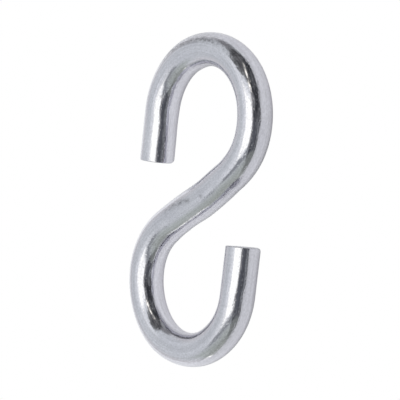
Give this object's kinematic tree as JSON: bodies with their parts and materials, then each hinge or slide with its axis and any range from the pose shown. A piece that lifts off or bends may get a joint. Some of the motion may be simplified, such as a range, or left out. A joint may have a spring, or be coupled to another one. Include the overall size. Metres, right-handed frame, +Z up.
{
  "type": "s hook",
  "caption": "Bright zinc-plated S hook bent from round steel rod, with two open hooks that face opposite ways and sheared ends.",
  "frame": {"origin": "below the middle of the spine between the two bends, on the surface that the hook lies on", "axes": "+Y along the hook's length to the upper hook's crown, +X across it towards the lower hook's leg, +Z up off the surface that it lies flat on"},
  "size_m": [0.0396, 0.0766, 0.0082],
  "materials": {
    "zinc_plate": "bright zinc plating, a soft mirror with faint streaks along the rod"
  },
  "bodies": {
    "root": {"s_hook": "zinc_plate"}
  },
  "joints": []
}
